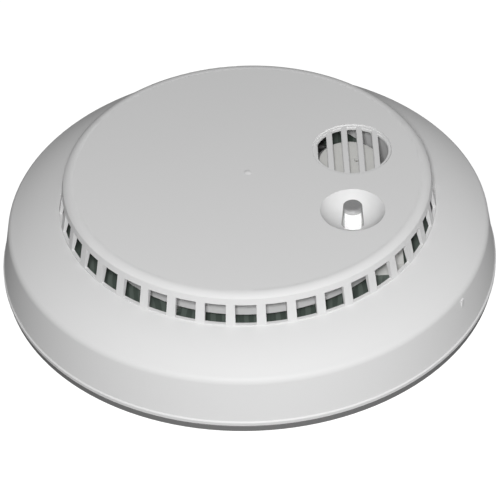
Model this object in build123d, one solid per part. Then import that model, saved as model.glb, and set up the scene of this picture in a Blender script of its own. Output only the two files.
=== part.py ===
"""Round mains heat alarm, lying on its back: +Z comes out of its face, z = 0 is the plane it is fixed to.

The origin is the centre of the mounting plate's back face. All sizes are in millimetres.
"""
from build123d import *
from math import atan2, cos, hypot, radians, sin
import os

# ---- driving dimensions -------------------------------------------------------------------------
OUTER_R = 71.0          # bottom edge of the cover
PLATE_R = 70.5
PLATE_T = 2.0
PLATE_OPENING_R = 38.0  # the wiring passes here

COVER_BOTTOM = 2.45
LIP_H = 1.3             # raised band along the cover's bottom edge
LIP_OUT = 0.35
WALL = 1.9              # moulded wall of the cover
CREASE_R, CREASE_Z = 68.5, 16.5
SHOULDER_R, SHOULDER_Z = 54.5, 22.5
WINDOW_WALL_R0, WINDOW_WALL_R1 = 53.5, 52.2   # foot and top of the windowed wall
WALL_TOP_Z = 29.6
RIB_TOP_T, RIB_FOOT_T = 1.75, 0.75            # thickness of the windowed wall at its top and its foot
DISC_EDGE_R, DISC_EDGE_Z = 51.9, 31.0
DISC_FLAT_R, DISC_TOP = 49.0, 32.0
DISC_T = 2.0

WINDOW_COUNT = 40
WINDOW_WIDTH = 5.75
WINDOW_Z0, WINDOW_Z1 = 23.15, 29.2
WINDOW_FIRST = 7.4      # degrees from +X to the centre of the first window

BAFFLE_R, BAFFLE_T, BAFFLE_FOOT = 45.5, 1.5, 19.7
BOSS_RING_R, BOSS_R = 61.0, 3.2
BOSS_ANGLES = (60, 150, 240, 330)
BOSS_FOOT, BOSS_TOP = 13.8, 21.0
SCREW_GRIP = 4.2                              # length of a cover screw inside its boss
GATE_R, GATE_RISE = 1.1, 0.22                 # mark left by the mould's gate near the disc's centre
GATE_X, GATE_Y = 0.4, 0.6
TICK_ANGLE = -32.5      # degrees from +X to the small mark that lines up with the plate

GRILLE_X, GRILLE_Y = 30.2, 9.6
GRILLE_R, GRILLE_RECESS_R, GRILLE_RECESS = 10.3, 11.1, 0.35
GRILLE_T = 0.9          # the disc is thinner under the grille
SLOT_COUNT, SLOT_PITCH, SLOT_WIDTH = 5, 4.35, 2.6
SLOT_SHIFT = 0.3        # the slots sit a little off the recess's centre

BUTTON_X, BUTTON_Y = 29.0, -17.4
DISH_R, DISH_DEPTH = 9.0, 5.4
BUTTON_TOP = 33.8
BUTTON_TOP_R, BUTTON_R = 2.65, 3.05
BUTTON_CLEARANCE = 0.10
BUTTON_TRAVEL = 1.5
FLANGE_R, FLANGE_T = 4.6, 1.4

REAR_BACK, REAR_FLOOR_T = 2.5, 1.8
REAR_R = 68.4
REAR_TOP = REAR_BACK + REAR_FLOOR_T

HOOK_R0, HOOK_R1 = 58.5, 60.3     # upright of each bayonet hook
HOOK_LIP_R = 62.8
HOOK_ANGLES = (20, 110, 200, 290)
HOOK_SPAN = 8.0                   # degrees
TWIST = 12.0                      # degrees from locked to free
TWIST_SLACK = 1.0

BOX_SCREW_SPACING = 86.1
BOX_SLOT_LENGTH, BOX_SLOT_R = 7.0, 2.1
WALL_SCREW_RING_R, WALL_SCREW_R = 52.0, 2.2

BATTERY_X, BATTERY_Y = -12.5, -0.8
BATTERY_SIZE = (26.2, 46.4, 17.2)
BATTERY_FOOT = 4.6
SNAP_SPACING = 12.7
SNAP_H = 2.1
WELL_GAP, WELL_T = 0.9, 1.2
WELL_END_ROOM = 4.0               # extra length for the snap contacts

LID_T, LID_GAP, LID_MARGIN = 1.2, 0.3, 2.2
LID_SLIDE = 7.0
TAB_LENGTH, TAB_OUT, TAB_T = 6.0, 1.2, 0.7
TAB_OFFSETS = (-8.5, 6.5)         # from the lid's centre, along X

INLET_X, INLET_Y = 19.2, 0.0
INLET_SIZE = (13.0, 22.0, 11.2)
INLET_WALL = 1.2
PIN_PITCH, PIN_R = 6.0, 0.7

BOARD_Z, BOARD_T, BOARD_R = 14.0, 1.6, 52.0
BOARD_TOP = BOARD_Z + BOARD_T
POST_RING_R, POST_R = 41.0, 3.0
POST_ANGLES = (-3, 120, 240)

RELAY_X0, RELAY_X1, RELAY_Y0, RELAY_Y1, RELAY_H = 33.9, 42.8, -26.5, -14.0, 3.8

CAP_TOP, CAP_R = 27.9, 8.8
HORN_X, HORN_Y = 29.4, 9.6         # the horn stands a little off the grille
HORN_R, HORN_WALL, HORN_TOP = 9.7, 0.9, 26.7

BLADE_ROOT_X, BLADE_TIP_X = 10.0, 26.3
BLADE_WIDTH, BLADE_T = 4.0, 0.4
BLADE_DROP = 0.25                 # gap under the button's flange at rest

# ---- helpers ------------------------------------------------------------------------------------


def cyl(radius, z0, z1, x=0.0, y=0.0):
    """Upright cylinder between two heights."""
    return Pos(x, y, (z0 + z1) / 2) * Cylinder(radius, z1 - z0)


def tube(outer, inner, z0, z1, x=0.0, y=0.0):
    """Upright tube between two heights."""
    return cyl(outer, z0, z1, x, y) - cyl(inner, z0 - 1, z1 + 1, x, y)


def block(x0, x1, y0, y1, z0, z1):
    """Box between two corners."""
    centre = Pos((x0 + x1) / 2, (y0 + y1) / 2, (z0 + z1) / 2)
    return centre * Box(x1 - x0, y1 - y0, z1 - z0)


def centred(x, y, width, length, z0, z1):
    """Box centred on x, y between two heights."""
    return block(x - width / 2, x + width / 2, y - length / 2, y + length / 2, z0, z1)


def on_ring(radius, angle):
    """Point on a circle about the origin, the angle in degrees."""
    return radius * cos(radians(angle)), radius * sin(radians(angle))


def arc_block(r0, r1, angle0, angle1, z0, z1):
    """Part of a tube between two angles, in degrees."""
    points = [on_ring(r, a) for r, a in ((r0, angle0), (r1, angle0), (r1, angle1), (r0, angle1))]
    middle = (angle0 + angle1) / 2
    outline = Line(points[0], points[1]) + ThreePointArc(points[1], on_ring(r1, middle), points[2])
    outline += Line(points[2], points[3]) + ThreePointArc(points[3], on_ring(r0, middle), points[0])
    return Pos(0, 0, z0) * extrude(make_face(outline), z1 - z0)


def spin(outline):
    """Solid of revolution about Z from an outline drawn as radius and height."""
    return revolve(Plane.XZ * make_face(outline), Axis.Z)


def save(name, shape):
    """Write one sub-part."""
    export_step(shape, f"parts/{name}.step")


def rounded(shape, radius):
    """Round the upright edges of a block."""
    return fillet(shape.edges().filter_by(Axis.Z), radius)


# ---- mounting plate -----------------------------------------------------------------------------


def mounting_plate():
    """Flat plate that is screwed to a ceiling or a wiring box, with four bayonet hooks."""
    plate = tube(PLATE_R, PLATE_OPENING_R, 0, PLATE_T)
    plate = chamfer(plate.edges().group_by(Axis.Z)[-1], 0.3)
    slots, holes = [], []
    for side in (-1, 1):
        slot = SlotOverall(BOX_SLOT_LENGTH, 2 * BOX_SLOT_R)
        slots.append(Pos(side * BOX_SCREW_SPACING / 2, 0, -1) * extrude(slot, PLATE_T + 2))
    for quarter in range(4):
        x, y = on_ring(WALL_SCREW_RING_R, 45 + 90 * quarter)
        holes.append(cyl(WALL_SCREW_R, -1, PLATE_T + 1, x, y))
    plate = plate - slots - holes
    for angle in HOOK_ANGLES:
        low, high = angle - HOOK_SPAN / 2, angle + HOOK_SPAN / 2
        plate += arc_block(HOOK_R0, HOOK_R1, low, high, PLATE_T - 0.5, REAR_TOP + 1.8)
        plate += arc_block(HOOK_R1 - 0.5, HOOK_LIP_R, low, high, REAR_TOP + 0.3, REAR_TOP + 1.8)
    return plate


# ---- front cover --------------------------------------------------------------------------------


def cover_shell():
    """Skirt, convex shoulder, windowed wall and front disc, as one turned shell."""
    skirt_r = OUTER_R - LIP_OUT
    rise = atan2(SHOULDER_Z - CREASE_Z, CREASE_R - SHOULDER_R)
    bulge = 0.8
    middle = ((CREASE_R + SHOULDER_R) / 2 + bulge * sin(rise), (CREASE_Z + SHOULDER_Z) / 2 + bulge * cos(rise))
    lip_top = COVER_BOTTOM + LIP_H
    outer = [
        Line((OUTER_R - WALL, COVER_BOTTOM), (OUTER_R, COVER_BOTTOM)),
        Line((OUTER_R, COVER_BOTTOM), (OUTER_R, lip_top - LIP_OUT)),
        Line((OUTER_R, lip_top - LIP_OUT), (skirt_r, lip_top)),
        Line((skirt_r, lip_top), (CREASE_R, CREASE_Z)),
        ThreePointArc((CREASE_R, CREASE_Z), middle, (SHOULDER_R, SHOULDER_Z)),
        Line((SHOULDER_R, SHOULDER_Z), (WINDOW_WALL_R0, SHOULDER_Z + 0.2)),
        Line((WINDOW_WALL_R0, SHOULDER_Z + 0.2), (WINDOW_WALL_R1, WALL_TOP_Z)),
        Line((WINDOW_WALL_R1, WALL_TOP_Z), (DISC_EDGE_R, DISC_EDGE_Z)),
        ThreePointArc((DISC_EDGE_R, DISC_EDGE_Z), (DISC_EDGE_R - 0.9, DISC_TOP - 0.3), (DISC_FLAT_R, DISC_TOP)),
        Line((DISC_FLAT_R, DISC_TOP), (0, DISC_TOP)),
        Line((0, DISC_TOP), (0, DISC_TOP - DISC_T)),
    ]
    inner_middle = (middle[0] - WALL * sin(rise), middle[1] - WALL * cos(rise))
    rib_top_r, rib_foot_r = WINDOW_WALL_R1 - RIB_TOP_T, WINDOW_WALL_R0 - RIB_FOOT_T
    inner = [
        Line((0, DISC_TOP - DISC_T), (rib_top_r, DISC_TOP - DISC_T)),
        Line((rib_top_r, DISC_TOP - DISC_T), (rib_foot_r, SHOULDER_Z)),
        Line((rib_foot_r, SHOULDER_Z), (rib_foot_r, SHOULDER_Z - WALL)),
        Line((rib_foot_r, SHOULDER_Z - WALL), (SHOULDER_R, SHOULDER_Z - WALL)),
        ThreePointArc((SHOULDER_R, SHOULDER_Z - WALL), inner_middle, (CREASE_R - WALL, CREASE_Z - WALL)),
        Line((CREASE_R - WALL, CREASE_Z - WALL), (OUTER_R - WALL, COVER_BOTTOM)),
    ]
    shell = spin(Curve() + outer + inner)
    crease = [e for e in shell.edges().filter_by(GeomType.CIRCLE)
              if abs(e.radius - CREASE_R) < 0.05 and abs(e.center().Z - CREASE_Z) < 0.05]
    return fillet(crease, 2.4)


def under_shoulder():
    """Room under the shoulder's outer surface, to trim what stands there."""
    inset = 0.5
    return spin(Polyline((0, 0), (OUTER_R - inset, 0), (CREASE_R - inset, CREASE_Z - inset),
                         (SHOULDER_R, SHOULDER_Z - inset), (0, SHOULDER_Z - inset), (0, 0)))


def windows():
    """The air windows, as cutters. Each stands on a low sill just above the shoulder."""
    half = WINDOW_WIDTH / 2
    inner_r = WINDOW_WALL_R1 - 2 * WALL
    cutter = block(inner_r, WINDOW_WALL_R0 + WALL, -half, half, WINDOW_Z0, WINDOW_Z1)
    pitch = 360 / WINDOW_COUNT
    return [Rot(0, 0, WINDOW_FIRST + pitch * i) * cutter for i in range(WINDOW_COUNT)]


def grille_slots():
    """Horn slots, clipped to a circle, as cutters, with the recesses above and below them."""
    clip = cyl(GRILLE_R, DISC_TOP - 3 * DISC_T, DISC_TOP + 1, GRILLE_X, GRILLE_Y)
    floor_z = DISC_TOP - GRILLE_RECESS
    cutters = [cyl(GRILLE_RECESS_R, floor_z, DISC_TOP + 1, GRILLE_X, GRILLE_Y),
               cyl(GRILLE_RECESS_R, DISC_TOP - 2 * DISC_T, floor_z - GRILLE_T, GRILLE_X, GRILLE_Y)]
    for i in range(SLOT_COUNT):
        x = GRILLE_X + SLOT_SHIFT + SLOT_PITCH * (i - (SLOT_COUNT - 1) / 2)
        slot = centred(x, GRILLE_Y, SLOT_WIDTH, 3 * GRILLE_R, DISC_TOP - 2 * DISC_T, DISC_TOP + 0.5)
        cutters.append(slot & clip)
    return cutters


def front_cover():
    """Front moulding: shell, baffle ring, screw bosses, horn grille, fingertip dish."""
    cover = cover_shell() - windows()
    under = DISC_TOP - DISC_T + 0.3
    cover += tube(BAFFLE_R, BAFFLE_R - BAFFLE_T, BAFFLE_FOOT, under)
    for angle in BOSS_ANGLES:
        x, y = on_ring(BOSS_RING_R, angle)
        cover += cyl(BOSS_R, BOSS_FOOT, BOSS_TOP, x, y) & under_shoulder()
    dish_sphere_r = (DISH_R ** 2 + DISH_DEPTH ** 2) / (2 * DISH_DEPTH)
    dish_z = DISC_TOP - DISH_DEPTH + dish_sphere_r
    bowl = Pos(BUTTON_X, BUTTON_Y, dish_z) * Sphere(dish_sphere_r + WALL)
    bowl &= cyl(DISH_R + WALL, DISC_TOP - DISH_DEPTH - 2 * WALL, under, BUTTON_X, BUTTON_Y)
    collar_foot = DISC_TOP - DISH_DEPTH - WALL - 0.5
    cover += bowl + cyl(FLANGE_R, collar_foot, collar_foot + 1.6, BUTTON_X, BUTTON_Y)
    cover -= Pos(BUTTON_X, BUTTON_Y, dish_z) * Sphere(dish_sphere_r)
    cover -= cyl(BUTTON_R + BUTTON_CLEARANCE, collar_foot - 1, DISC_TOP, BUTTON_X, BUTTON_Y)
    cover -= grille_slots()
    for angle in BOSS_ANGLES:
        x, y = on_ring(BOSS_RING_R, angle)
        cover -= cyl(SCREW_R + 0.05, BOSS_FOOT - 1, BOSS_FOOT + SCREW_GRIP + 0.5, x, y)
    rims = [e for e in cover.edges().filter_by(GeomType.CIRCLE) if abs(e.center().Z - DISC_TOP) < 0.01]
    dish_rim = [e for e in rims if abs(e.radius - DISH_R) < 0.01]
    grille_rim = [e for e in rims if abs(e.radius - GRILLE_RECESS_R) < 0.01]
    cover = fillet(dish_rim, 0.8)
    cover = fillet(grille_rim, 0.3)
    floor_z = DISC_TOP - GRILLE_RECESS
    slot_rims = [e for e in cover.edges() if abs(e.bounding_box().min.Z - floor_z) < 0.01
                 and abs(e.bounding_box().max.Z - floor_z) < 0.01
                 and hypot((e @ 0.5).X - GRILLE_X, (e @ 0.5).Y - GRILLE_Y) < GRILLE_R + 0.05]
    cover = chamfer(slot_rims, 0.2)
    gate_sphere_r = (GATE_R ** 2 + GATE_RISE ** 2) / (2 * GATE_RISE)
    gate = Pos(GATE_X, GATE_Y, DISC_TOP + GATE_RISE - gate_sphere_r) * Sphere(gate_sphere_r)
    cover += gate & cyl(2 * GATE_R, DISC_TOP - 0.5, DISC_TOP + 1, GATE_X, GATE_Y)
    skirt_tick = block(CREASE_R - 0.3, CREASE_R + 0.9, -0.5, 0.5, CREASE_Z - 4.2, CREASE_Z - 1.6)
    cover += Rot(0, 0, TICK_ANGLE) * Pos(-0.15, 0, 0) * skirt_tick
    return cover


# ---- test button, its contact and its lamp ------------------------------------------------------

FLANGE_TOP = DISC_TOP - DISH_DEPTH - WALL - 0.5 - 0.3
FLANGE_FOOT = FLANGE_TOP - FLANGE_T
BLADE_TOP = FLANGE_FOOT - BLADE_DROP
LAMP_R, LAMP_TOP = 1.5, BOARD_TOP + 3.4


def test_button():
    """Clear push button that also carries the lamp's light to the face."""
    stem_foot = LAMP_TOP + BUTTON_TRAVEL + 0.3
    dish_floor = DISC_TOP - DISH_DEPTH
    outline = Polyline(
        (0, stem_foot), (LAMP_R + 0.3, stem_foot), (LAMP_R + 0.3, FLANGE_FOOT), (FLANGE_R, FLANGE_FOOT),
        (FLANGE_R, FLANGE_TOP), (BUTTON_R, FLANGE_TOP), (BUTTON_R, dish_floor + 1.2),
        (BUTTON_TOP_R, BUTTON_TOP - 0.35), (BUTTON_TOP_R - 0.35, BUTTON_TOP), (0, BUTTON_TOP), (0, stem_foot))
    return Pos(BUTTON_X, BUTTON_Y, 0) * spin(outline)


def test_contact_blade():
    """Springy strip that the button's flange bends down."""
    return block(BLADE_ROOT_X, BLADE_TIP_X, BUTTON_Y - BLADE_WIDTH / 2, BUTTON_Y + BLADE_WIDTH / 2,
                 BLADE_TOP - BLADE_T, BLADE_TOP)


def blade_anchor():
    """Bent riser that holds the strip's root above the board."""
    x1 = BLADE_ROOT_X - 0.3
    half = BLADE_WIDTH / 2
    riser = block(x1 - 0.8, x1, BUTTON_Y - half, BUTTON_Y + half, BOARD_TOP, BLADE_TOP)
    foot = block(x1 - 3.6, x1, BUTTON_Y - half - 0.6, BUTTON_Y + half + 0.6, BOARD_TOP, BOARD_TOP + 0.8)
    return riser + foot


def contact_post():
    """Fixed contact under the strip's tip."""
    x = BLADE_TIP_X - 1.4
    top = BLADE_TOP - BLADE_T - BUTTON_TRAVEL - 0.2
    return cyl(0.9, BOARD_TOP, top, x, BUTTON_Y) + cyl(1.6, BOARD_TOP, BOARD_TOP + 0.8, x, BUTTON_Y)


def indicator_lamp():
    """Small domed lamp under the button."""
    body = cyl(LAMP_R, BOARD_TOP, LAMP_TOP - LAMP_R, BUTTON_X, BUTTON_Y)
    body += Pos(BUTTON_X, BUTTON_Y, LAMP_TOP - LAMP_R) * Sphere(LAMP_R)
    collar = cyl(LAMP_R + 0.35, BOARD_TOP, BOARD_TOP + 0.6, BUTTON_X, BUTTON_Y)
    return body + collar


# ---- rear housing -------------------------------------------------------------------------------

WELL_X0 = BATTERY_X - BATTERY_SIZE[0] / 2 - WELL_GAP
WELL_X1 = BATTERY_X + BATTERY_SIZE[0] / 2 + WELL_GAP
WELL_Y0 = BATTERY_Y - BATTERY_SIZE[1] / 2 - WELL_GAP
WELL_Y1 = BATTERY_Y + BATTERY_SIZE[1] / 2 + WELL_END_ROOM
WELL_TOP = BATTERY_FOOT + BATTERY_SIZE[2] + 0.8
LID_X0, LID_X1 = WELL_X0 - LID_MARGIN, WELL_X1 + LID_MARGIN
LID_Y0, LID_Y1 = WELL_Y0 - LID_MARGIN, WELL_Y1 + LID_MARGIN
LID_FOOT = REAR_BACK + 0.1
LID_MID_X, LID_MID_Y = (LID_X0 + LID_X1) / 2, (LID_Y0 + LID_Y1) / 2
SCREW_R, SCREW_HEAD_R, SCREW_HEAD_H = 1.4, 2.6, 1.9
SCREW_HEAD_SEAT = REAR_TOP + 1.2


def bayonet_slot(angle):
    """Keyhole arc: wide where the hook comes in, narrow where it locks."""
    low = angle - HOOK_SPAN / 2 - TWIST - TWIST_SLACK
    wide_end = angle + HOOK_SPAN / 2 - TWIST + TWIST_SLACK
    high = angle + HOOK_SPAN / 2 + TWIST_SLACK
    z0, z1 = REAR_BACK - 1, REAR_TOP + 0.01
    narrow = arc_block(HOOK_R0 - 0.5, HOOK_R1 + 0.4, low, high, z0, z1)
    return narrow + arc_block(HOOK_R0 - 0.5, HOOK_LIP_R + 0.6, low, wide_end, z0, z1)


def lid_recess():
    """Room for the battery lid and its slide, with a pocket for each of its tabs, as cutters."""
    ceiling = LID_FOOT + LID_T + LID_GAP
    cutters = [block(LID_X0 - LID_GAP, LID_X1 + LID_SLIDE + LID_GAP, LID_Y0 - LID_GAP, LID_Y1 + LID_GAP,
                     REAR_BACK - 1, ceiling)]
    reach = TAB_OUT + 2 * LID_GAP
    for offset in TAB_OFFSETS:
        x0 = LID_MID_X + offset - TAB_LENGTH / 2 - LID_GAP
        x1 = x0 + TAB_LENGTH + 2 * LID_GAP
        for edge, side in ((LID_Y0, -1), (LID_Y1, 1)):
            y0, y1 = sorted((edge, edge + side * reach))
            tab_foot = LID_FOOT + LID_T - TAB_T - LID_GAP
            cutters.append(block(x0, x1 + LID_SLIDE, y0, y1, tab_foot, ceiling))
            cutters.append(block(x1, x1 + LID_SLIDE, y0, y1, REAR_BACK - 1, ceiling))
    return cutters


def rear_housing():
    """Rear moulding: floor with bayonet slots, battery well, posts and bosses."""
    housing = cyl(REAR_R, REAR_BACK, REAR_TOP)
    housing += tube(66.4, 65.0, REAR_TOP - 0.5, REAR_TOP + 5.2)
    pad = LID_FOOT + LID_T + LID_GAP + 1.2
    housing += block(LID_X0 - 2.6, LID_X1 + LID_SLIDE + 2.0, LID_Y0 - 3.2, LID_Y1 + 3.2, REAR_BACK, pad)
    housing += block(WELL_X0 - WELL_T, WELL_X1 + WELL_T, WELL_Y0 - WELL_T, WELL_Y1 + WELL_T, REAR_BACK,
                     WELL_TOP + WELL_T)
    for angle in BOSS_ANGLES:
        x, y = on_ring(BOSS_RING_R, angle)
        housing += cyl(BOSS_R + 1, REAR_BACK, BOSS_FOOT - 0.2, x, y)
    for angle in POST_ANGLES:
        x, y = on_ring(POST_RING_R, angle)
        housing += cyl(POST_R, REAR_BACK, BOARD_Z, x, y)
    for angle in range(0, 360, 20):
        housing += Rot(0, 0, angle) * block(47.0, 56.0, -0.6, 0.6, REAR_BACK, REAR_TOP + 3.4)
    housing -= block(WELL_X0, WELL_X1, WELL_Y0, WELL_Y1, REAR_BACK - 1, WELL_TOP)
    housing -= lid_recess()
    housing -= [bayonet_slot(angle) for angle in HOOK_ANGLES]
    housing -= centred(INLET_X, INLET_Y, INLET_SIZE[0], INLET_SIZE[1], REAR_BACK - 1, REAR_TOP + 5)
    for angle in BOSS_ANGLES:
        x, y = on_ring(BOSS_RING_R, angle)
        housing -= cyl(SCREW_HEAD_R + 0.4, REAR_BACK - 1, SCREW_HEAD_SEAT, x, y)
        housing -= cyl(SCREW_R + 0.3, REAR_BACK, BOSS_FOOT, x, y)
    for angle in POST_ANGLES:
        x, y = on_ring(POST_RING_R, angle)
        housing -= cyl(1.05, BOARD_Z - 7, BOARD_Z + 1, x, y)
    return housing


def cross_headed(x, y, head_z0, head_z1, head_r, shank_r, shank_z, recess_down):
    """Screw with a cross recess: its head between two heights and its shank as far as shank_z."""
    shank = sorted((shank_z, head_z1 if recess_down else head_z0))
    screw = cyl(head_r, head_z0, head_z1, x, y) + cyl(shank_r, shank[0], shank[1], x, y)
    depth = (head_z1 - head_z0) * 0.6
    z0, z1 = (head_z0 - 1, head_z0 + depth) if recess_down else (head_z1 - depth, head_z1 + 1)
    screw -= centred(x, y, head_r * 1.3, 0.6, z0, z1)
    screw -= centred(x, y, 0.6, head_r * 1.3, z0, z1)
    return screw


def cover_screws():
    """Four screws from the back into the cover's bosses."""
    screws = []
    for angle in BOSS_ANGLES:
        x, y = on_ring(BOSS_RING_R, angle)
        screws.append(cross_headed(x, y, SCREW_HEAD_SEAT - SCREW_HEAD_H, SCREW_HEAD_SEAT, SCREW_HEAD_R, SCREW_R,
                                   BOSS_FOOT + SCREW_GRIP, True))
    return Compound(children=screws)


def board_screws():
    """Short screws that hold the board on its posts."""
    screws = []
    for angle in POST_ANGLES:
        x, y = on_ring(POST_RING_R, angle)
        screws.append(cross_headed(x, y, BOARD_TOP, BOARD_TOP + 1.5, 2.3, 1.0, BOARD_Z - 6, False))
    return Compound(children=screws)


# ---- battery, its lid and its contacts ----------------------------------------------------------

BATTERY_END = BATTERY_Y + BATTERY_SIZE[1] / 2
SNAP_Z = BATTERY_FOOT + BATTERY_SIZE[2] / 2


def along_y(radius, y0, y1, x, z):
    """Cylinder lying along Y."""
    return Pos(x, (y0 + y1) / 2, z) * Rot(90, 0, 0) * Cylinder(radius, y1 - y0)


def battery_case():
    """Sheet-steel can of the nine volt battery."""
    can = centred(BATTERY_X, BATTERY_Y, BATTERY_SIZE[0], BATTERY_SIZE[1], BATTERY_FOOT,
                  BATTERY_FOOT + BATTERY_SIZE[2])
    return fillet(can.edges().filter_by(Axis.Y), 2.0)


def battery_snaps():
    """The stud and the socket on the battery's end."""
    stud = along_y(2.8, BATTERY_END, BATTERY_END + SNAP_H, BATTERY_X - SNAP_SPACING / 2, SNAP_Z)
    x = BATTERY_X + SNAP_SPACING / 2
    socket = along_y(4.1, BATTERY_END, BATTERY_END + SNAP_H, x, SNAP_Z)
    socket -= along_y(2.9, BATTERY_END - 1, BATTERY_END + SNAP_H + 1, x, SNAP_Z)
    return Compound(children=[stud, socket])


def snap_contacts():
    """The housing's matching socket and stud."""
    y1 = WELL_Y1 - 1.0
    x = BATTERY_X - SNAP_SPACING / 2
    socket = along_y(3.9, BATTERY_END + 0.3, y1, x, SNAP_Z) - along_y(2.95, BATTERY_END, y1 + 1, x, SNAP_Z)
    stud = along_y(2.75, BATTERY_END + 0.3, y1, BATTERY_X + SNAP_SPACING / 2, SNAP_Z)
    return Compound(children=[socket, stud])


def contact_carrier():
    """Black plate behind the snap contacts."""
    return block(BATTERY_X - 12.0, BATTERY_X + 12.0, WELL_Y1 - 1.0, WELL_Y1 - 0.1, SNAP_Z - 6.5, SNAP_Z + 6.5)


def battery_pad():
    """Foam strip that keeps the battery from rattling."""
    return centred(BATTERY_X, BATTERY_Y - 6, 18.0, 12.0, BATTERY_FOOT + BATTERY_SIZE[2], WELL_TOP)


def battery_cover():
    """Sliding lid over the battery well, with four tabs and five grip grooves for the thumb."""
    lid = block(LID_X0, LID_X1, LID_Y0, LID_Y1, LID_FOOT, LID_FOOT + LID_T)
    for offset in TAB_OFFSETS:
        x0 = LID_MID_X + offset - TAB_LENGTH / 2
        for edge, side in ((LID_Y0, -1), (LID_Y1, 1)):
            y0, y1 = sorted((edge - side, edge + side * TAB_OUT))
            lid += block(x0, x0 + TAB_LENGTH, y0, y1, LID_FOOT + LID_T - TAB_T, LID_FOOT + LID_T)
    for i in range(5):
        groove_x = LID_X1 - 5.0 - 1.8 * i
        lid -= block(groove_x - 0.45, groove_x + 0.45, LID_MID_Y - 7, LID_MID_Y + 7, LID_FOOT - 1, LID_FOOT + 0.5)
    return lid


# ---- mains inlet --------------------------------------------------------------------------------


def inlet_socket():
    """Open-backed shell that takes the supply plug."""
    width, length, height = INLET_SIZE
    shell = centred(INLET_X, INLET_Y, width - 0.2, length - 0.2, REAR_BACK, REAR_BACK + height)
    shell -= centred(INLET_X, INLET_Y, width - 2 * INLET_WALL, length - 2 * INLET_WALL, REAR_BACK - 1,
                     REAR_BACK + height - 1.4)
    shell -= [cyl(PIN_R + 0.02, REAR_BACK, BOARD_Z, x, y) for x, y in pin_places()]
    return shell


def pin_places():
    """Where the three supply pins stand."""
    return [(INLET_X + 2.8, INLET_Y + PIN_PITCH * i) for i in (-1, 0, 1)]


def inlet_pins():
    """Three supply pins, from the socket's mouth to the board."""
    pins = []
    for x, y in pin_places():
        pins.append(cyl(PIN_R, REAR_BACK + 2.5, BOARD_Z, x, y))
    return Compound(children=pins)


# ---- circuit board and what stands on it --------------------------------------------------------


def circuit_board():
    """Round board with a rectangular cut-out round the battery well."""
    gap = 0.7
    board = cyl(BOARD_R, BOARD_Z, BOARD_TOP)
    board -= block(WELL_X0 - WELL_T - gap, WELL_X1 + WELL_T + gap, WELL_Y0 - WELL_T - gap,
                   WELL_Y1 + WELL_T + gap, BOARD_Z - 1, BOARD_TOP + 1)
    for angle in POST_ANGLES:
        x, y = on_ring(POST_RING_R, angle)
        board -= cyl(1.1, BOARD_Z - 1, BOARD_TOP + 1, x, y)
    return board


PIEZO_Z = 21.6


def horn_housing():
    """Cup on the board that holds the sounder disc on an inner ledge."""
    cup = cyl(HORN_R, BOARD_TOP, HORN_TOP, HORN_X, HORN_Y)
    cup -= cyl(HORN_R - HORN_WALL, PIEZO_Z, HORN_TOP + 1, HORN_X, HORN_Y)
    cup -= cyl(HORN_R - HORN_WALL - 1.6, BOARD_TOP + 1.2, HORN_TOP, HORN_X, HORN_Y)
    cup -= [cyl(0.65, BOARD_TOP - 1, BOARD_TOP + 2, x, y) for x, y in horn_contact_places()]
    return cup


def horn_cap():
    """Pale lid of the sounder with its tuned hole."""
    cap = cyl(CAP_R - 0.05, HORN_TOP - 1.4, CAP_TOP, HORN_X, HORN_Y)
    cap = fillet(cap.edges().group_by(Axis.Z)[-1], 0.5)
    cap -= cyl(CAP_R - 1.6, HORN_TOP - 2, CAP_TOP - 1.0, HORN_X, HORN_Y)
    cap -= cyl(0.8, HORN_TOP - 2, CAP_TOP + 1, HORN_X + SLOT_PITCH / 2, HORN_Y)
    return cap


def piezo_disc():
    """Brass disc of the sounder."""
    return cyl(HORN_R - HORN_WALL - 0.1, PIEZO_Z, PIEZO_Z + 0.3, HORN_X, HORN_Y)


def piezo_element():
    """Ceramic layer on the brass disc."""
    return cyl(5.8, PIEZO_Z + 0.3, PIEZO_Z + 0.55, HORN_X, HORN_Y)


def horn_contact_places():
    """Where the sounder's spring pins stand."""
    return [(HORN_X + dx, HORN_Y + dy) for dx, dy in ((0, 0), (5.2, 0), (0, 5.2))]


def horn_contacts():
    """Spring pins from the board to the sounder disc."""
    return Compound(children=[cyl(0.6, BOARD_TOP, PIEZO_Z, x, y) for x, y in horn_contact_places()])


THERMISTOR_X, THERMISTOR_Z = -48.3, 25.6


def thermistor_bead():
    """Heat-sensing bead, standing in the air path just inside the windows."""
    return Pos(THERMISTOR_X, 0, THERMISTOR_Z) * scale(Sphere(1.25), by=(1, 1, 1.35))


def thermistor_leads():
    """Two stiff leads that carry the bead."""
    leads = [cyl(0.25, BOARD_TOP, THERMISTOR_Z - 1.72, THERMISTOR_X, side * 0.6) for side in (-1, 1)]
    return Compound(children=leads)


def thermistor_guard():
    """Small slotted sleeve round the foot of the leads."""
    return tube(1.9, 1.2, BOARD_TOP, BOARD_TOP + 3.0, THERMISTOR_X, 0)


def film_capacitor():
    """Mains dropper capacitor."""
    return rounded(centred(-35.6, 5.0, 8.0, 17.5, BOARD_TOP, BOARD_TOP + 11.5), 0.5)


def storage_capacitors():
    """Two upright electrolytic capacitors with a crimp groove."""
    cans = []
    for x, y, radius, height in ((-35.5, -13.0, 4.0, 11.0), (8.6, -36.2, 3.15, 8.5)):
        can = cyl(radius, BOARD_TOP, BOARD_TOP + height, x, y)
        can = fillet(can.edges().group_by(Axis.Z)[-1], 0.4)
        can -= tube(radius + 1, radius - 0.25, BOARD_TOP + 1.6, BOARD_TOP + 2.2, x, y)
        cans.append(can)
    return Compound(children=cans)


def varistor():
    """Surge absorber, a disc on edge."""
    disc = fillet(Cylinder(5.2, 3.6).edges(), 1.2)
    return Pos(-4.0, 36.0, BOARD_TOP + 6.0) * Rot(90, 0, 0) * disc


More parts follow.
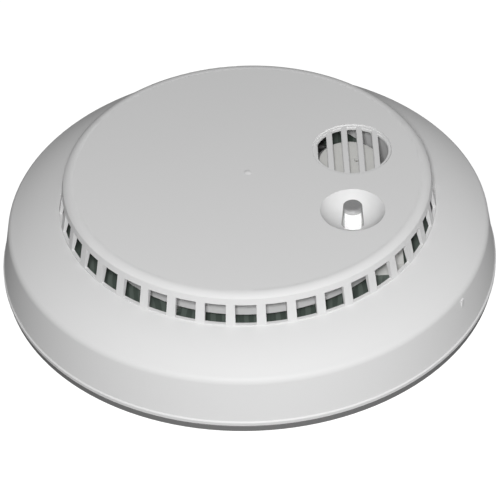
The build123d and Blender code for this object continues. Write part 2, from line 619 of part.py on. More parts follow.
def rectifier_diodes():
    """Four diodes lying side by side."""
    diodes = []
    for i in range(4):
        body = Rot(0, 90, 0) * Cylinder(1.3, 5.0)
        leads = Rot(0, 90, 0) * Cylinder(0.35, 9.0)
        diodes.append(Pos(20.5, 26.4 + 3.4 * i, BOARD_TOP + 1.3) * (body + leads))
    return Compound(children=diodes)


def gull_wing_chip(x, y, width, length, height, legs):
    """Moulded chip with legs along both long sides."""
    body = centred(x, y, width, length, BOARD_TOP + 0.15, BOARD_TOP + height)
    pitch = 1.27
    for i in range(legs):
        leg_y = y + pitch * (i - (legs - 1) / 2)
        body += centred(x, leg_y, width + 2.4, 0.42, BOARD_TOP, BOARD_TOP + 0.5)
    return body


def controller_chip():
    """Sixteen-legged controller."""
    return gull_wing_chip(11.8, 20.0, 4.6, 10.2, 1.9, 8)


def driver_chip():
    """Eight-legged horn driver."""
    return gull_wing_chip(11.8, 6.5, 4.0, 5.0, 1.7, 4)


def boost_coil():
    """Wound transformer that lifts the horn's voltage."""
    coil = tube(4.4, 1.0, BOARD_TOP, BOARD_TOP + 8.6, 17.2, -31.5)
    waist = tube(5.0, 3.5, BOARD_TOP + 1.4, BOARD_TOP + 7.2, 17.2, -31.5)
    return coil - waist


def coil_winding():
    """Copper on the transformer's waist."""
    return tube(4.1, 3.52, BOARD_TOP + 1.45, BOARD_TOP + 7.15, 17.2, -31.5)


def transistors():
    """Three upright half-round transistors."""
    cases = []
    for x, y in ((-14.0, -33.4), (-7.0, -33.4), (0.0, -33.4)):
        case = cyl(2.3, BOARD_TOP + 2.6, BOARD_TOP + 7.0, x, y)
        case -= centred(x, y - 2.6, 6.0, 2.4, BOARD_TOP, BOARD_TOP + 8)
        for i in (-1, 0, 1):
            case += centred(x + 1.27 * i, y, 0.5, 0.4, BOARD_TOP, BOARD_TOP + 3.0)
        cases.append(case)
    return Compound(children=cases)


def link_relay():
    """White relay that passes the alarm on to the other alarms on the line."""
    return rounded(block(RELAY_X0, RELAY_X1, RELAY_Y0, RELAY_Y1, BOARD_TOP, BOARD_TOP + RELAY_H), 0.4)


def chip_resistors():
    """Rows of small surface-mounted resistors."""
    chips = []
    for row_x, count in ((6.2, 5), (16.9, 5)):
        for i in range(count):
            chips.append(centred(row_x, -2.0 - 2.6 * i, 1.25, 2.0, BOARD_TOP, BOARD_TOP + 0.55))
    return Compound(children=chips)


def rear_label():
    """Plain rating label on the back, without any print."""
    return centred(0, 43.0, 46.0, 13.0, REAR_BACK - 0.12, REAR_BACK)


PARTS = [mounting_plate, front_cover, rear_housing, test_button, test_contact_blade, blade_anchor, contact_post,
         indicator_lamp, cover_screws, board_screws, battery_case, battery_snaps, snap_contacts,
         contact_carrier, battery_pad, battery_cover, inlet_socket, inlet_pins, circuit_board, horn_housing,
         horn_cap, piezo_disc, piezo_element, horn_contacts, thermistor_bead, thermistor_leads,
         thermistor_guard, film_capacitor, storage_capacitors, varistor, rectifier_diodes, controller_chip,
         driver_chip, boost_coil, coil_winding, transistors, link_relay, chip_resistors,
         rear_label]

os.makedirs("parts", exist_ok=True)
for make in PARTS:
    save(make.__name__, make())
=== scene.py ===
# %% [markdown]
# # A heat alarm, dressed for its picture
# The frame that this script loads is the working model: every moulding, screw and board part is already
# there, at its real size, and rides on the body it moves with. The lesson is about what comes after: the
# finishes, and the small pieces that are too fine for a working model.

# %% Load the frame
import math

import bpy
from mathutils import Matrix, Vector


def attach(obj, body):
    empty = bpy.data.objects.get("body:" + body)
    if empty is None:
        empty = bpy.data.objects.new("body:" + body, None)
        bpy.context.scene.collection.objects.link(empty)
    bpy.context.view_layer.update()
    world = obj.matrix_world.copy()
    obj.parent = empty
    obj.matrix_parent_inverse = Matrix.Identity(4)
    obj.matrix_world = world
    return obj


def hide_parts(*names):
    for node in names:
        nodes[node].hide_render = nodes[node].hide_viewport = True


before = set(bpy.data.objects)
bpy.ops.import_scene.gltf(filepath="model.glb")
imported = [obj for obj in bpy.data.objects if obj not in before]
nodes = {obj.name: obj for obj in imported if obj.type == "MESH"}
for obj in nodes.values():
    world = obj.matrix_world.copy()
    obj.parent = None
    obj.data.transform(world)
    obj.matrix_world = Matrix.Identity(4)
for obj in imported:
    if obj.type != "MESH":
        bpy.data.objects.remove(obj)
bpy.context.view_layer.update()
mm = 0.001

# %% [markdown]
# ## Camera
# The alarm lies on its back and is looked at from about forty-one degrees above the table. A long lens, a
# good way off, keeps the far rim nearly as wide as the near one. The camera also leans a little, as one
# does in the hand. Its turn is built from two plain rotations, so that each number says one thing.

# %% Place the camera
CAMERA_ELEVATION = math.radians(40.84)
CAMERA_LEAN = math.radians(-1.967)
CAMERA_DISTANCE = 763.4 * mm
CAMERA_LENS = 190.3
AIM = Vector((0.21, 0.0, 3.55)) * mm

camera_data = bpy.data.cameras.new("camera")
camera_data.lens = CAMERA_LENS
camera_data.sensor_width = 36.0
camera_data.clip_end = 20.0
camera = bpy.data.objects.new("camera", camera_data)
bpy.context.scene.collection.objects.link(camera)
tilt = Matrix.Rotation(math.pi / 2 - CAMERA_ELEVATION, 4, "X")
lean = Matrix.Rotation(CAMERA_LEAN, 4, "Z")
back = Vector((0, -math.cos(CAMERA_ELEVATION), math.sin(CAMERA_ELEVATION)))
camera.matrix_world = Matrix.Translation(AIM + back * CAMERA_DISTANCE) @ tilt @ lean
bpy.context.scene.camera = camera
bpy.context.scene.view_settings.view_transform = "Standard"
print("camera stands at", tuple(round(v, 3) for v in camera.matrix_world.translation))

# %% [markdown]
# ## Light
# One soft light close above the camera does most of the work, as a flash with a diffuser does. It makes the
# near skirt the brightest part and lets the sides fall away. A wide, weak light from the right and a pale
# surround fill in what it leaves. The last light stands below the table and shows the alarm's back, which
# nothing else reaches.

# %% Add the lights
KEY_ELEVATION = math.radians(43.5)
KEY_DISTANCE = 0.74
KEY_SIZE = 0.09
KEY_SHIFT = -0.02
KEY_POWER = 4.2
FACE_AIM, BACK_AIM = (0, 0, 0.02), (0, 0, 0)
SIDE_PLACE, SIDE_SIZE, SIDE_POWER = (0.9, -0.15, 0.42), 0.8, 1.5
BACK_PLACE, BACK_SIZE, BACK_POWER = (0.1, -0.15, -0.6), 0.5, 1.8
SURROUND_STRENGTH = 0.15


def add_area_light(name, place, aim, size, power):
    """A square soft light at a place, facing a point."""
    data = bpy.data.lights.new(name, "AREA")
    data.size = size
    data.energy = power
    lamp = bpy.data.objects.new(name, data)
    lamp.location = place
    lamp.rotation_euler = (Vector(aim) - Vector(place)).to_track_quat("-Z", "Y").to_euler()
    bpy.context.scene.collection.objects.link(lamp)


key_place = (KEY_SHIFT, -KEY_DISTANCE * math.cos(KEY_ELEVATION), KEY_DISTANCE * math.sin(KEY_ELEVATION))
add_area_light("key_light", key_place, FACE_AIM, KEY_SIZE, KEY_POWER)
add_area_light("side_light", SIDE_PLACE, FACE_AIM, SIDE_SIZE, SIDE_POWER)
add_area_light("back_light", BACK_PLACE, BACK_AIM, BACK_SIZE, BACK_POWER)
world = bpy.data.worlds.new("surround")
world.use_nodes = True
world.node_tree.nodes["Background"].inputs["Color"].default_value = (1, 1, 1, 1)
world.node_tree.nodes["Background"].inputs["Strength"].default_value = SURROUND_STRENGTH
bpy.context.scene.world = world

# %% [markdown]
# ## Shader sums
# A finish is mostly arithmetic on patterns. This class wraps a socket, and its operators add the Math
# nodes, so a formula reads like a formula. `Finish.add` makes any other node.

# %% Write shader maths as Python


class Signal:
    """A number that runs through a shader. A sum or a product adds the Math node for it."""

    def __init__(self, finish, socket):
        self.finish = finish
        self.socket = socket

    def math(self, operation, *others):
        inputs = dict(enumerate((self, *others)))
        return self.finish.add("ShaderNodeMath", {"operation": operation}, inputs)

    def __add__(self, other):
        return self.math("ADD", other)

    def __mul__(self, other):
        return self.math("MULTIPLY", other)

    def __sub__(self, other):
        return self.math("SUBTRACT", other)

    def __rsub__(self, other):
        return (self * -1.0).math("ADD", other)

    __radd__ = __add__
    __rmul__ = __mul__

    def above(self, edge):
        return self.math("GREATER_THAN", edge)


class Finish:
    """One material, made of nodes."""

    def __init__(self, name):
        self.material = bpy.data.materials.new(name)
        self.material.use_nodes = True
        self.tree = self.material.node_tree
        self.tree.nodes.clear()

    def make(self, kind, settings, inputs):
        node = self.tree.nodes.new(kind)
        for key, value in settings.items():
            if key == "stops":
                for element, (place, colour) in zip(node.color_ramp.elements, value):
                    element.position = place
                    element.color = colour
            else:
                setattr(node, key, value)
        for key, value in inputs.items():
            if isinstance(value, Signal):
                self.tree.links.new(value.socket, node.inputs[key])
            else:
                node.inputs[key].default_value = value
        return node

    def add(self, kind, settings, inputs, output=0):
        return Signal(self, self.make(kind, settings, inputs).outputs[output])

    def show(self, shader):
        self.make("ShaderNodeOutputMaterial", {}, {"Surface": shader})
        return self.material

    def place(self):
        return self.add("ShaderNodeTexCoord", {}, {}, "Object")

    def axis(self, name):
        return self.add("ShaderNodeSeparateXYZ", {}, {0: self.place()}, name)

    def noise(self, per_mm, detail=2.0, distortion=0.0, stretch=None):
        """Noise with so many grains to the millimetre, drawn out along the axes by the given factors."""
        where = self.place()
        if stretch:
            where = self.add("ShaderNodeVectorMath", {"operation": "MULTIPLY"}, {0: where, 1: stretch})
        inputs = {"Vector": where, "Scale": per_mm / mm, "Detail": detail, "Distortion": distortion}
        return self.add("ShaderNodeTexNoise", {}, inputs)

    def mix(self, factor, colour_a, colour_b):
        settings = {"data_type": "RGBA"}
        inputs = {0: factor, 6: colour_a, 7: colour_b}
        return self.add("ShaderNodeMix", settings, inputs, 2)

    def bump(self, height, depth):
        return self.add("ShaderNodeBump", {}, {"Height": height, "Distance": depth})

    def surface(self, **sockets):
        names = {key.replace("_", " "): value for key, value in sockets.items()}
        return self.show(self.add("ShaderNodeBsdfPrincipled", {}, names))


def grey(level, alpha=1.0):
    """A neutral colour."""
    return (level, level, level, alpha)


print("shader helpers ready")

# %% [markdown]
# ## Table
# The table is a plain pale sheet, lit almost to white. Seen from underneath it is clear, and it has a hole
# where the alarm covers it, so that a low light can reach the back and the back can be looked at with the
# table still in place. The hole starts as a circle, whose edge is extruded and scaled outwards.

# %% Lay the table
TABLE_LEVEL, TABLE_GLOW = 0.30, 0.9
TABLE_HOLE_R, TABLE_R, TABLE_Z = 70.3 * mm, 4.0, -0.1 * mm
bpy.ops.object.select_all(action="DESELECT")
bpy.ops.mesh.primitive_circle_add(vertices=128, radius=TABLE_HOLE_R, location=(0, 0, TABLE_Z))
table = bpy.context.object
table.name = "table"
bpy.ops.object.mode_set(mode="EDIT")
bpy.ops.mesh.select_all(action="SELECT")
bpy.ops.mesh.extrude_edges_move()
bpy.ops.transform.resize(value=(TABLE_R / TABLE_HOLE_R, TABLE_R / TABLE_HOLE_R, 1.0))
bpy.ops.object.mode_set(mode="OBJECT")
if table.data.polygons[0].normal.z < 0:
    table.data.flip_normals()
table_finish = Finish("table_white")
back_side = table_finish.add("ShaderNodeNewGeometry", {}, {}, "Backfacing")
seen_directly = table_finish.add("ShaderNodeLightPath", {}, {}, "Is Camera Ray")
paper = table_finish.add("ShaderNodeBsdfPrincipled", {}, {
    "Base Color": grey(TABLE_LEVEL), "Roughness": 0.9, "Specular IOR Level": 0.1})
glow = table_finish.add("ShaderNodeEmission", {}, {"Color": grey(1.0), "Strength": TABLE_GLOW})
lit_paper = table_finish.add("ShaderNodeAddShader", {}, {0: paper, 1: glow})
sheet = table_finish.add("ShaderNodeMixShader", {}, {0: seen_directly, 1: paper, 2: lit_paper})
clear_shader = table_finish.add("ShaderNodeBsdfTransparent", {}, {})
either = table_finish.add("ShaderNodeMixShader", {}, {0: back_side, 1: sheet, 2: clear_shader})
table.data.materials.append(table_finish.show(either))
print("table laid")

# %% [markdown]
# ## White mouldings
# The cover, the plate and the rear housing are ABS moulded in an etched steel tool. The etch leaves a grain
# of a few tenths of a millimetre: too fine to see as shapes, but it spreads the highlights. Two noises make
# it. A third one, some centimetres wide and very weak, is the slight flow shading that large flat mouldings
# have.

# %% Make the white plastic


def moulded_plastic(name, level, roughness, grain_depth):
    """Etched, moulded plastic of one grey level."""
    finish = Finish(name)
    flow = finish.noise(0.012, 2.0, 0.6)
    colour = finish.mix(flow, grey(level * 0.975), grey(level))
    coarse = finish.noise(2.6, 3.0)
    fine = finish.noise(7.5, 2.0)
    grain = coarse * 0.65 + fine * 0.35
    rough = (fine - 0.5) * 0.10 + roughness
    return finish.surface(Base_Color=colour, Roughness=rough, Specular_IOR_Level=0.22,
                          Normal=finish.bump(grain, grain_depth * mm))


cover_white = moulded_plastic("cover_white", 0.76, 0.54, 0.014)
plate_grey = moulded_plastic("plate_grey", 0.20, 0.52, 0.014)
housing_white = moulded_plastic("housing_white", 0.72, 0.50, 0.012)
print("white finishes made")

# %% [markdown]
# ## Putting a finish on a working part
# A working part keeps its mesh, and only its material slots are given a new finish.

# %% Give each white part its finish


def wear(material, *names):
    """Puts one finish on the named parts."""
    for name in names:
        part = nodes[name]
        for slot in part.material_slots:
            slot.material = material


wear(cover_white, "front_cover")
wear(plate_grey, "mounting_plate")
wear(housing_white, "rear_housing", "battery_cover", "inlet_socket")
print("white parts finished")

# %% [markdown]
# ## Clear button
# The button is a stub of clear acrylic that also brings the lamp's light to the face. Its front is polished
# and lets the dish behind show through. Its top is a dark grey frosted shader, and so, less strongly, are
# its
# upper end and its two sides: this grey is painted shade, for the dark that clear acrylic shows through its
# top and at its edges. Heights and distances choose between the two shaders of a Mix Shader. It throws no
# shadow, because clear plastic hardly does.

# %% Make the clear plastic
BUTTON_X = 29.0 * mm
# Where the painted shade starts: the top, the band below it, and the two dark edges at the sides.
TOP_FROM, SHADE_BAND_FROM, SHADE_EDGE_ASIDE = 33.4 * mm, 32.2 * mm, 2.3 * mm
PAINTED_SHADE_SHARE = 0.62
clear = Finish("clear_acrylic")
swirl = clear.noise(0.9, 2.0)
polished = clear.add("ShaderNodeBsdfPrincipled", {}, {
    "Base Color": grey(0.96), "Roughness": swirl * 0.04 + 0.03, "IOR": 1.49, "Transmission Weight": 0.95})
# The grey of this shader is painted shade: the dark that clear acrylic shows through its top and at its
# edges.
grey_frost_painted_shade = clear.add("ShaderNodeBsdfPrincipled", {}, {
    "Base Color": clear.mix(swirl, grey(0.25), grey(0.31)), "Roughness": 0.42})
height = clear.axis("Z")
aside = (clear.axis("X") - BUTTON_X).math("ABSOLUTE")
# Painted shade on the upper band and the two side edges at part strength, and at full strength on the top.
painted_band_and_edges = height.above(SHADE_BAND_FROM).math("MAXIMUM", aside.above(SHADE_EDGE_ASIDE)) * PAINTED_SHADE_SHARE
painted_shade_mask = painted_band_and_edges.math("MAXIMUM", height.above(TOP_FROM))
clear_acrylic = clear.show(clear.add("ShaderNodeMixShader", {}, {0: painted_shade_mask, 1: polished, 2: grey_frost_painted_shade}))
wear(clear_acrylic, "test_button")
nodes["test_button"].visible_shadow = False
print("button finished")

# %% [markdown]
# ## Circuit board
# Dark solder mask over copper. Where a track runs under it the mask stands a little higher and looks a
# little paler: wide, nearly straight bands do for the tracks.

# %% Make the board
board = Finish("solder_mask")
weave = board.noise(0.8, 2.0)
track_bands = board.add("ShaderNodeTexWave", {"wave_type": "BANDS", "bands_direction": "X"}, {
    "Vector": board.place(), "Scale": 0.11 / mm, "Distortion": 2.5, "Detail": 0.0})
tracks = track_bands.above(0.55)
mask_dark = board.mix(weave, (0.066, 0.086, 0.073, 1), (0.092, 0.116, 0.100, 1))
board_mask = board.surface(Base_Color=board.mix(tracks, mask_dark, (0.125, 0.152, 0.134, 1)),
                           Roughness=weave * 0.1 + 0.35, Normal=board.bump(tracks, 0.035 * mm))
wear(board_mask, "circuit_board")
print("board finished")

# %% [markdown]
# ## Metals
# Each metal is one recipe with its own colour. Very long, thin noise is the drawing and rolling marks, and
# soft blotches are the handling. Both only change how sharp the reflection is.

# %% Make the metals


def metal(name, colour, roughness, stretch, tarnish=0.10):
    """Drawn, rolled or plated metal. The stretch says along which axis its fine lines run."""
    finish = Finish(name)
    lines = finish.noise(3.0, 2.0, 0.0, stretch)
    blotches = finish.noise(0.35, 3.0, 0.4)
    dull = tuple(c * (1.0 - 2.0 * tarnish) for c in colour)
    shade = finish.mix(blotches, (*dull, 1), (*colour, 1))
    rough = lines * 0.14 + blotches * tarnish + (roughness - 0.12)
    return finish.surface(Base_Color=shade, Metallic=1.0, Roughness=rough,
                          Normal=finish.bump(lines, 0.004 * mm))


ALONG_X, ALONG_Z = (0.06, 1.0, 1.0), (1.0, 1.0, 0.06)
spring_metal = metal("spring_metal", (0.74, 0.60, 0.34), 0.32, ALONG_X)
steel = metal("steel", (0.56, 0.56, 0.55), 0.36, ALONG_Z)
tin = metal("tin", (0.70, 0.70, 0.68), 0.34, ALONG_Z)
disc_brass = metal("disc_brass", (0.72, 0.57, 0.27), 0.30, ALONG_X)
copper = metal("copper", (0.66, 0.29, 0.13), 0.30, ALONG_X, 0.06)
wear(spring_metal, "test_contact_blade", "blade_anchor", "contact_post", "horn_contacts")
wear(steel, "cover_screws", "board_screws")
wear(tin, "battery_snaps", "snap_contacts", "inlet_pins", "thermistor_leads")
wear(disc_brass, "piezo_disc")
wear(copper, "coil_winding")
print("metals finished")

# %% [markdown]
# ## Small mouldings and cases
# The parts on the board are moulded, dipped or sleeved. They share one recipe too: two shades mixed by a
# noise, and a bump whose grain goes from the matte of moulded epoxy to the long waves of a dipped coat.

# %% Make the cases


def case(name, dark, light, roughness, per_mm, relief, waves=0.0):
    """Moulded or dipped plastic between two shades."""
    finish = Finish(name)
    grain = finish.noise(per_mm, 3.0, waves)
    speck = finish.noise(per_mm * 4.0, 2.0)
    shade = finish.mix(grain, (*dark, 1), (*light, 1))
    return finish.surface(Base_Color=shade, Roughness=speck * 0.10 + (roughness - 0.05),
                          Normal=finish.bump(grain * 0.7 + speck * 0.3, relief * mm))


def neutral(level):
    """A neutral shade as three numbers."""
    return (level, level, level)


lamp_red = case("lamp_red", (0.36, 0.02, 0.02), (0.50, 0.04, 0.03), 0.22, 1.2, 0.004)
black_plastic = case("black_plastic", neutral(0.026), neutral(0.040), 0.48, 4.0, 0.010)
foam = case("foam", neutral(0.030), neutral(0.075), 0.90, 2.2, 0.25)
cup_grey = case("cup_grey", neutral(0.19), neutral(0.23), 0.50, 4.0, 0.010)
cap_pale = case("cap_pale", (0.66, 0.66, 0.64), (0.70, 0.70, 0.68), 0.48, 3.0, 0.010)
ceramic = case("ceramic", (0.60, 0.59, 0.56), (0.70, 0.69, 0.66), 0.38, 2.0, 0.006)
bead_dark = case("bead_dark", neutral(0.030), neutral(0.055), 0.18, 0.9, 0.030, 0.8)
film_yellow = case("film_yellow", (0.62, 0.40, 0.05), (0.70, 0.47, 0.07), 0.30, 1.5, 0.006)
varistor_blue = case("varistor_blue", (0.03, 0.12, 0.34), (0.05, 0.17, 0.42), 0.24, 0.5, 0.060, 0.8)
chip_black = case("chip_black", neutral(0.018), neutral(0.030), 0.55, 8.0, 0.008)
ferrite = case("ferrite", neutral(0.045), neutral(0.070), 0.58, 5.0, 0.014)
relay_white = case("relay_white", (0.76, 0.76, 0.74), (0.80, 0.80, 0.78), 0.34, 3.0, 0.006)
wear(lamp_red, "indicator_lamp")
wear(black_plastic, "contact_carrier", "thermistor_guard")
wear(foam, "battery_pad")
wear(cup_grey, "horn_housing")
wear(cap_pale, "horn_cap")
wear(ceramic, "piezo_element")
wear(bead_dark, "thermistor_bead")
wear(film_yellow, "film_capacitor")
wear(varistor_blue, "varistor")
wear(chip_black, "rectifier_diodes", "controller_chip", "driver_chip", "transistors", "chip_resistors")
wear(ferrite, "boost_coil")
wear(relay_white, "link_relay")
print("cases finished")

# %% [markdown]
# ## Battery, sleeves and label
# Three things have a pattern that follows their own shape. The battery's can is dark with one plain copper
# coloured band near the snaps. The capacitors' shrunk sleeves carry the usual pale stripe down one side. The
# rating label is plain silver film with a fine border and no print.

# %% Make the patterned finishes
BAND_FROM, BAND_TO = 9.0 * mm, 22.0 * mm
battery = Finish("battery_black")
along = battery.axis("Y")
in_band = along.above(BAND_FROM) - along.above(BAND_TO)
scuffs = battery.noise(0.5, 4.0, 0.3)
battery_black = battery.surface(
    Base_Color=battery.mix(in_band, grey(0.022), (0.46, 0.21, 0.07, 1)),
    Metallic=in_band * 0.7, Roughness=scuffs * 0.22 + 0.20, Normal=battery.bump(scuffs, 0.006 * mm))
wear(battery_black, "battery_case")

STRIPE_PITCH = 0.02 / mm
sleeve = Finish("can_sleeve")
shrink = sleeve.noise(0.5, 3.0, 0.5)
stripes = sleeve.add("ShaderNodeTexWave", {"wave_type": "BANDS", "bands_direction": "X"}, {
    "Vector": sleeve.place(), "Scale": STRIPE_PITCH, "Distortion": 0.0}).above(0.72)
can_sleeve = sleeve.surface(
    Base_Color=sleeve.mix(stripes, (0.022, 0.032, 0.085, 1), (0.42, 0.44, 0.50, 1)),
    Roughness=shrink * 0.16 + 0.20, Normal=sleeve.bump(shrink, 0.015 * mm))
wear(can_sleeve, "storage_capacitors")

LABEL_HALF_X, LABEL_HALF_Y, LABEL_MIDDLE_Y = 21.6 * mm, 5.2 * mm, 43.0 * mm
LABEL_LINE = 0.35 * mm
label = Finish("label_silver")
from_middle = {
    "X": label.axis("X").math("ABSOLUTE") - LABEL_HALF_X,
    "Y": (label.axis("Y") - LABEL_MIDDLE_Y).math("ABSOLUTE") - LABEL_HALF_Y}
from_edge = from_middle["X"].math("MAXIMUM", from_middle["Y"])
border = from_edge.above(0.0) - from_edge.above(LABEL_LINE)
brushed = label.noise(4.0, 2.0, 0.0, ALONG_X)
label_silver = label.surface(Base_Color=label.mix(border, grey(0.60), grey(0.12)), Metallic=0.5,
                             Roughness=brushed * 0.20 + 0.28, Normal=label.bump(brushed, 0.004 * mm))
wear(label_silver, "rear_label")
print("patterned finishes made")

# %% [markdown]
# ## Modelling the small pieces
# The rest is modelled here. Every piece starts as a primitive and is edited with the usual tools. A thing
# that repeats is modelled once and then copied. At the end its origin goes to the frame's own, so that it
# rides on its body without an offset.

# %% Helpers for modelled pieces
BOARD_TOP = 15.6 * mm


def fresh():
    """Leaves nothing selected."""
    bpy.ops.object.select_all(action="DESELECT")


def choose(piece):
    """Selects one object alone and makes it the active one."""
    fresh()
    piece.select_set(True)
    bpy.context.view_layer.objects.active = piece


def pick_faces(piece, test):
    """Selects the faces for which the test holds, and goes into edit mode."""
    choose(piece)
    bpy.ops.object.mode_set(mode="EDIT")
    bpy.ops.mesh.select_mode(type="FACE")
    bpy.ops.mesh.select_all(action="DESELECT")
    bpy.ops.object.mode_set(mode="OBJECT")
    for face in piece.data.polygons:
        face.select = test(face)
    bpy.ops.object.mode_set(mode="EDIT")


def soften(piece, width):
    """A small bevel on every sharp edge, applied."""
    choose(piece)
    bevel = piece.modifiers.new("bevel", "BEVEL")
    bevel.width = width
    bevel.segments = 2
    bevel.limit_method = "ANGLE"
    bpy.ops.object.modifier_apply(modifier=bevel.name)


def repeat(model, places):
    """Copies a model to each place, each copy with its own mesh, and joins them to one piece."""
    fresh()
    copies = []
    for place in places:
        copy = model.copy()
        copy.data = model.data.copy()
        copy.location = place
        bpy.context.scene.collection.objects.link(copy)
        copies.append(copy)
    bpy.data.objects.remove(model)
    for copy in copies:
        copy.select_set(True)
    bpy.context.view_layer.objects.active = copies[0]
    bpy.ops.object.join()
    return copies[0]


def settle(piece, name, material, body="alarm", smooth_angle=35.0):
    """Names a finished piece, gives it its finish and its origin, and lets it ride."""
    choose(piece)
    bpy.ops.object.transform_apply(location=True, rotation=True, scale=True)
    bpy.ops.object.shade_smooth_by_angle(angle=math.radians(smooth_angle))
    piece.name = name
    piece.data.name = name
    piece.data.materials.clear()
    piece.data.materials.append(material)
    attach(piece, body)
    print(name, "has", len(piece.data.polygons), "faces")


print("helpers for pieces ready")

# %% [markdown]
# ## Winding
# The working model has a plain sleeve for the coil's copper. A stack of rings that touch each other looks
# like the wound wire, and stands for that sleeve.

# %% Wind the coil
COIL_X, COIL_Y = 17.2 * mm, -31.5 * mm
COIL_FOOT, COIL_HEIGHT, COIL_OUTER = 17.05 * mm, 5.7 * mm, 4.1 * mm
COIL_TURNS = 12
wire_radius = COIL_HEIGHT / COIL_TURNS / 2
fresh()
bpy.ops.mesh.primitive_torus_add(
    major_radius=COIL_OUTER - wire_radius, minor_radius=wire_radius, major_segments=64, minor_segments=14)
turn_places = [(COIL_X, COIL_Y, COIL_FOOT + wire_radius * (2 * i + 1)) for i in range(COIL_TURNS)]
coil_turns = repeat(bpy.context.object, turn_places)
settle(coil_turns, "coil_turns", copper, smooth_angle=60.0)
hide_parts("coil_winding")

# %% [markdown]
# ## Ends of the chip resistors
# Each chip resistor has a tinned wrap at both ends. One small box with softened edges is copied twenty
# times.

# %% Cap the resistors
CHIP_ROWS, CHIP_COUNT = (6.2 * mm, 16.9 * mm), 5
CHIP_FIRST_Y, CHIP_PITCH = -2.0 * mm, 2.6 * mm
CHIP_WIDTH, CHIP_LENGTH, CHIP_HEIGHT = 1.25 * mm, 2.0 * mm, 0.55 * mm
WRAP_LENGTH, WRAP_PROUD = 0.42 * mm, 0.02 * mm
fresh()
bpy.ops.mesh.primitive_cube_add(size=1.0)
wrap = bpy.context.object
wrap.dimensions = (CHIP_WIDTH + 2 * WRAP_PROUD, WRAP_LENGTH, CHIP_HEIGHT + WRAP_PROUD)
bpy.ops.object.transform_apply(location=False, rotation=False, scale=True)
soften(wrap, 0.06 * mm)
wrap_places = []
for row_x in CHIP_ROWS:
    for i in range(CHIP_COUNT):
        for side in (-1, 1):
            wrap_y = CHIP_FIRST_Y - CHIP_PITCH * i + side * (CHIP_LENGTH - WRAP_LENGTH) / 2
            wrap_places.append((row_x, wrap_y, BOARD_TOP + (CHIP_HEIGHT + WRAP_PROUD) / 2))
settle(repeat(wrap, wrap_places), "resistor_ends", tin)

# %% [markdown]
# ## Bands on the diodes
# A pale ring marks one end of each diode.

# %% Band the diodes
DIODE_X, DIODE_FIRST_Y, DIODE_PITCH, DIODE_Z = 20.5 * mm, 26.4 * mm, 3.4 * mm, 16.9 * mm
DIODE_COUNT = 4
RING_R, RING_LENGTH, RING_ASIDE = 1.32 * mm, 0.7 * mm, 1.6 * mm
fresh()
bpy.ops.mesh.primitive_cylinder_add(
    vertices=40, radius=RING_R, depth=RING_LENGTH, rotation=(0, math.pi / 2, 0))
bpy.ops.object.transform_apply(location=False, rotation=True, scale=False)
ring = bpy.context.object
soften(ring, 0.03 * mm)
ring_places = [(DIODE_X - RING_ASIDE, DIODE_FIRST_Y + DIODE_PITCH * i, DIODE_Z) for i in range(DIODE_COUNT)]
settle(repeat(ring, ring_places), "diode_bands", cap_pale)

# %% [markdown]
# ## Solder
# Every lead that ends on the board sits in a small dome of solder. A sphere is cut at the board's height
# and the cut is filled.

# %% Solder the leads
DOME_R, DOME_FLATTEN = 0.95 * mm, 0.8
DIODE_LEAD, COIL_LEAD = 4.1 * mm, 5.6 * mm
fresh()
bpy.ops.mesh.primitive_uv_sphere_add(segments=24, ring_count=14, radius=DOME_R)
dome = bpy.context.object
dome.scale = (1.0, 1.0, DOME_FLATTEN)
bpy.ops.object.transform_apply(location=False, rotation=False, scale=True)
bpy.ops.object.mode_set(mode="EDIT")
bpy.ops.mesh.select_all(action="SELECT")
bpy.ops.mesh.bisect(plane_co=(0, 0, 0), plane_no=(0, 0, 1), clear_inner=True, use_fill=True)
bpy.ops.object.mode_set(mode="OBJECT")
dome_places = [(DIODE_X + side * DIODE_LEAD, DIODE_FIRST_Y + DIODE_PITCH * i, BOARD_TOP)
               for i in range(DIODE_COUNT) for side in (-1, 1)]
dome_places += [(COIL_X + COIL_LEAD * dx, COIL_Y + COIL_LEAD * dy, BOARD_TOP)
                for dx, dy in ((-1, 0), (1, 0), (0, -1))]
settle(repeat(dome, dome_places), "solder_domes", tin, smooth_angle=50.0)

# %% [markdown]
# ## Can tops
# The top of an electrolytic capacitor is bare metal inside the rolled edge of its sleeve. A disc is inset
# and its middle is pushed down, which leaves that rolled edge standing.

# %% Top the capacitors
SLEEVE_EDGE, CAN_TOP_T = 0.45 * mm, 0.16 * mm
CAN_RIM, CAN_SUNK = 0.35 * mm, 0.05 * mm


def can_top(name, x, y, height, radius):
    """Bare top of one can, sunk inside a narrow rim."""
    fresh()
    bpy.ops.mesh.primitive_cylinder_add(vertices=48, radius=radius - SLEEVE_EDGE, depth=CAN_TOP_T,
                                        location=(x, y, BOARD_TOP + height))
    top = bpy.context.object
    bpy.ops.object.transform_apply(location=True, rotation=False, scale=False)
    pick_faces(top, lambda face: face.normal.z > 0.9)
    bpy.ops.mesh.inset(thickness=CAN_RIM)
    bpy.ops.transform.translate(value=(0, 0, -CAN_SUNK))
    bpy.ops.object.mode_set(mode="OBJECT")
    soften(top, 0.02 * mm)
    settle(top, name, tin)


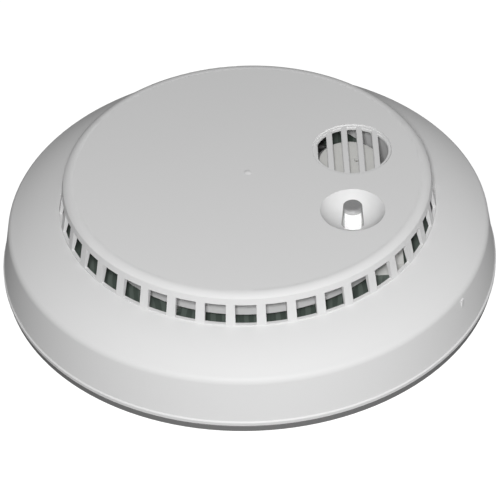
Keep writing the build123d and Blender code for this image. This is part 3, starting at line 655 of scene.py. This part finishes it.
can_top("can_top_large", -35.5 * mm, -13.0 * mm, 11.0 * mm, 4.0 * mm)
can_top("can_top_small", 8.6 * mm, -36.2 * mm, 8.5 * mm, 3.15 * mm)

# %% [markdown]
# ## Chip marks
# Each chip has a shallow round mark at its first leg. It is a thin disc with a standing edge, which catches
# the light.

# %% Mark the first legs
DOT_R, DOT_HEIGHT, DOT_RIM, DOT_SUNK = 0.42 * mm, 0.04 * mm, 0.10 * mm, 0.02 * mm
fresh()
bpy.ops.mesh.primitive_cylinder_add(vertices=32, radius=DOT_R, depth=DOT_HEIGHT)
dot = bpy.context.object
pick_faces(dot, lambda face: face.normal.z > 0.9)
bpy.ops.mesh.inset(thickness=DOT_RIM)
bpy.ops.transform.translate(value=(0, 0, -DOT_SUNK))
bpy.ops.object.mode_set(mode="OBJECT")
dot_places = [(10.5 * mm, 24.0 * mm, BOARD_TOP + 1.91 * mm),
              (10.7 * mm, 8.1 * mm, BOARD_TOP + 1.71 * mm)]
settle(repeat(dot, dot_places), "chip_marks", chip_black)

# %% [markdown]
# ## Ejector marks
# The rear moulding was pushed off its tool by round pins, and each of them left a faint disc. The ones that
# show through the mounting plate's opening are modelled.

# %% Add the ejector marks
REAR_FACE = 2.5 * mm
MARK_R, MARK_HEIGHT, MARK_RIM, MARK_SUNK = 1.6 * mm, 0.08 * mm, 0.12 * mm, 0.015 * mm
fresh()
bpy.ops.mesh.primitive_cylinder_add(vertices=40, radius=MARK_R, depth=MARK_HEIGHT)
mark = bpy.context.object
pick_faces(mark, lambda face: face.normal.z < -0.9)
bpy.ops.mesh.inset(thickness=MARK_RIM)
bpy.ops.transform.translate(value=(0, 0, MARK_SUNK))
bpy.ops.object.mode_set(mode="OBJECT")
mark_places = [(x * mm, y * mm, REAR_FACE) for x, y in ((29, 17), (29, -17), (18, 28), (18, -28))]
settle(repeat(mark, mark_places), "ejector_marks", housing_white)

# %% [markdown]
# ## Finish

# %% Finish the file
print("done")
